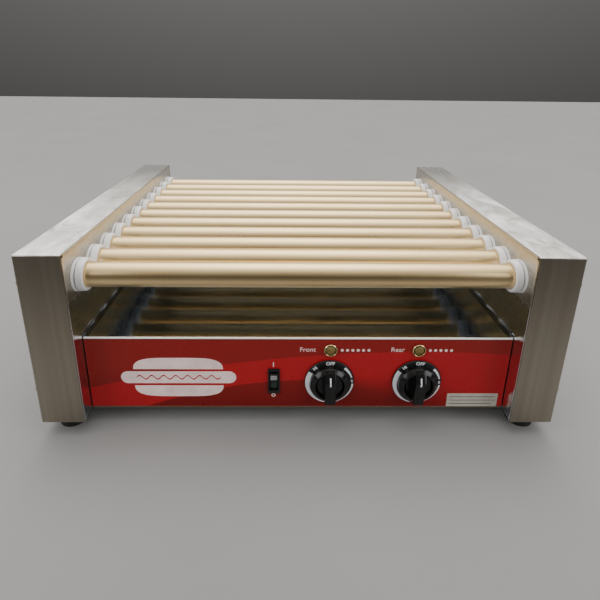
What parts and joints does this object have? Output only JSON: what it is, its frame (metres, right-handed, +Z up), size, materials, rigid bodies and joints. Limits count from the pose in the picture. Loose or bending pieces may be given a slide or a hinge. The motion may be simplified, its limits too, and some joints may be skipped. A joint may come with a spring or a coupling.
{
  "type": "hot dog roller grill",
  "caption": "Countertop roller grill: heated satin rollers between two stainless side towers, over a drip tray and a red control panel.",
  "frame": {"origin": "on the table under the middle of the grill", "axes": "+X to the right along the rollers, +Y to the back, +Z up"},
  "size_m": [0.5852, 0.444, 0.222],
  "materials": {
    "satin_roller": "warm satin, finely turned stainless",
    "white_bush": "white PTFE, smooth",
    "brushed_stainless": "brushed, with light handling marks",
    "polished_stainless": "bright, almost mirror",
    "plain_steel": "plain, as rolled",
    "dark_steel": "oiled chain steel",
    "red_overlay": "dark red printed film with a brighter red band",
    "white_print": "white print on the overlay and the knobs",
    "black_gloss": "black gloss moulding",
    "black_plastic": "black satin moulding",
    "amber_lens": "clear amber lens",
    "lamp_rim": "bright rim",
    "control_body": "moulded phenolic",
    "rubber": "black, matt"
  },
  "bodies": {
    "chassis": {"left_bush_01": "white_bush", "left_bush_02": "white_bush", "left_bush_03": "white_bush", "left_bush_04": "white_bush", "left_bush_05": "white_bush", "left_bush_06": "white_bush", "left_bush_07": "white_bush", "left_bush_08": "white_bush", "left_bush_09": "white_bush", "left_bush_10": "white_bush", "left_bush_11": "white_bush", "right_bush_01": "white_bush", "right_bush_02": "white_bush", "right_bush_03": "white_bush", "right_bush_04": "white_bush", "right_bush_05": "white_bush", "right_bush_06": "white_bush", "right_bush_07": "white_bush", "right_bush_08": "white_bush", "right_bush_09": "white_bush", "right_bush_10": "white_bush", "right_bush_11": "white_bush", "front_heating_elements": "plain_steel", "rear_heating_elements": "plain_steel", "left_side_cover": "brushed_stainless", "right_side_cover": "brushed_stainless", "left_inner_panel": "polished_stainless", "right_inner_panel": "polished_stainless", "base_pan": "brushed_stainless", "cord_gland": "black_plastic", "tray_deck": "plain_steel", "control_panel": "brushed_stainless", "panel_overlay": "red_overlay", "front_heat_control": "control_body", "rear_heat_control": "control_body", "front_pilot_lamp": "amber_lens", "rear_pilot_lamp": "amber_lens", "power_switch_body": "black_plastic", "gearmotor": "plain_steel", "drive_chain": "dark_steel", "front_left_foot": "rubber", "rear_left_foot": "rubber", "front_right_foot": "rubber", "rear_right_foot": "rubber"},
    "roller_01": {"roller_01": "satin_roller"},
    "roller_02": {"roller_02": "satin_roller"},
    "roller_03": {"roller_03": "satin_roller"},
    "roller_04": {"roller_04": "satin_roller"},
    "roller_05": {"roller_05": "satin_roller"},
    "roller_06": {"roller_06": "satin_roller"},
    "roller_07": {"roller_07": "satin_roller"},
    "roller_08": {"roller_08": "satin_roller"},
    "roller_09": {"roller_09": "satin_roller"},
    "roller_10": {"roller_10": "satin_roller"},
    "roller_11": {"roller_11": "satin_roller"},
    "drive_sprocket": {"drive_sprocket": "dark_steel"},
    "drip_tray": {"drip_tray": "polished_stainless"},
    "front_knob": {"front_knob": "black_gloss"},
    "rear_knob": {"rear_knob": "black_gloss"},
    "power_switch_rocker": {"power_switch_rocker": "black_plastic"}
  },
  "joints": [
    {"name": "roller_01_spin", "type": "hinge", "parent": "chassis", "child": "roller_01", "pos_m": [0, -0.1905, 0.18665], "axis": [1, 0, 0], "continuous": true},
    {"name": "roller_02_spin", "type": "hinge", "parent": "chassis", "child": "roller_02", "pos_m": [0, -0.1524, 0.18665], "axis": [1, 0, 0], "continuous": true},
    {"name": "roller_03_spin", "type": "hinge", "parent": "chassis", "child": "roller_03", "pos_m": [0, -0.1143, 0.18665], "axis": [1, 0, 0], "continuous": true},
    {"name": "roller_04_spin", "type": "hinge", "parent": "chassis", "child": "roller_04", "pos_m": [0, -0.0762, 0.18665], "axis": [1, 0, 0], "continuous": true},
    {"name": "roller_05_spin", "type": "hinge", "parent": "chassis", "child": "roller_05", "pos_m": [0, -0.0381, 0.18665], "axis": [1, 0, 0], "continuous": true},
    {"name": "roller_06_spin", "type": "hinge", "parent": "chassis", "child": "roller_06", "pos_m": [0, 0, 0.18665], "axis": [1, 0, 0], "continuous": true},
    {"name": "roller_07_spin", "type": "hinge", "parent": "chassis", "child": "roller_07", "pos_m": [0, 0.0381, 0.18665], "axis": [1, 0, 0], "continuous": true},
    {"name": "roller_08_spin", "type": "hinge", "parent": "chassis", "child": "roller_08", "pos_m": [0, 0.0762, 0.18665], "axis": [1, 0, 0], "continuous": true},
    {"name": "roller_09_spin", "type": "hinge", "parent": "chassis", "child": "roller_09", "pos_m": [0, 0.1143, 0.18665], "axis": [1, 0, 0], "continuous": true},
    {"name": "roller_10_spin", "type": "hinge", "parent": "chassis", "child": "roller_10", "pos_m": [0, 0.1524, 0.18665], "axis": [1, 0, 0], "continuous": true},
    {"name": "roller_11_spin", "type": "hinge", "parent": "chassis", "child": "roller_11", "pos_m": [0, 0.1905, 0.18665], "axis": [1, 0, 0], "continuous": true},
    {"name": "drive_sprocket_spin", "type": "hinge", "parent": "chassis", "child": "drive_sprocket", "pos_m": [0.262, 0.14859, 0.06006], "axis": [1, 0, 0], "continuous": true, "deforming": ["drive_chain"]},
    {"name": "drip_tray_slide", "type": "slide", "parent": "chassis", "child": "drip_tray", "axis": [0, -1, 0], "range_m": [0, 0.42]},
    {"name": "front_knob_turn", "type": "hinge", "parent": "chassis", "child": "front_knob", "pos_m": [0.035, -0.2009, 0.0574], "axis": [0, 1, 0], "continuous": true},
    {"name": "rear_knob_turn", "type": "hinge", "parent": "chassis", "child": "rear_knob", "pos_m": [0.136, -0.2009, 0.0574], "axis": [0, 1, 0], "continuous": true},
    {"name": "power_switch_rock", "type": "hinge", "parent": "chassis", "child": "power_switch_rocker", "pos_m": [-0.0288, -0.2009, 0.0577], "axis": [-1, 0, 0], "range_deg": [0, 24]}
  ],
  "couplings": [
    {"joint": "roller_02_spin", "follows": "roller_01_spin", "ratio": 1},
    {"joint": "roller_03_spin", "follows": "roller_01_spin", "ratio": 1},
    {"joint": "roller_04_spin", "follows": "roller_01_spin", "ratio": 1},
    {"joint": "roller_05_spin", "follows": "roller_01_spin", "ratio": 1},
    {"joint": "roller_06_spin", "follows": "roller_01_spin", "ratio": 1},
    {"joint": "roller_07_spin", "follows": "roller_01_spin", "ratio": 1},
    {"joint": "roller_08_spin", "follows": "roller_01_spin", "ratio": 1},
    {"joint": "roller_09_spin", "follows": "roller_01_spin", "ratio": 1},
    {"joint": "roller_10_spin", "follows": "roller_01_spin", "ratio": 1},
    {"joint": "roller_11_spin", "follows": "roller_01_spin", "ratio": 1},
    {"joint": "drive_sprocket_spin", "follows": "roller_01_spin", "ratio": 1}
  ]
}
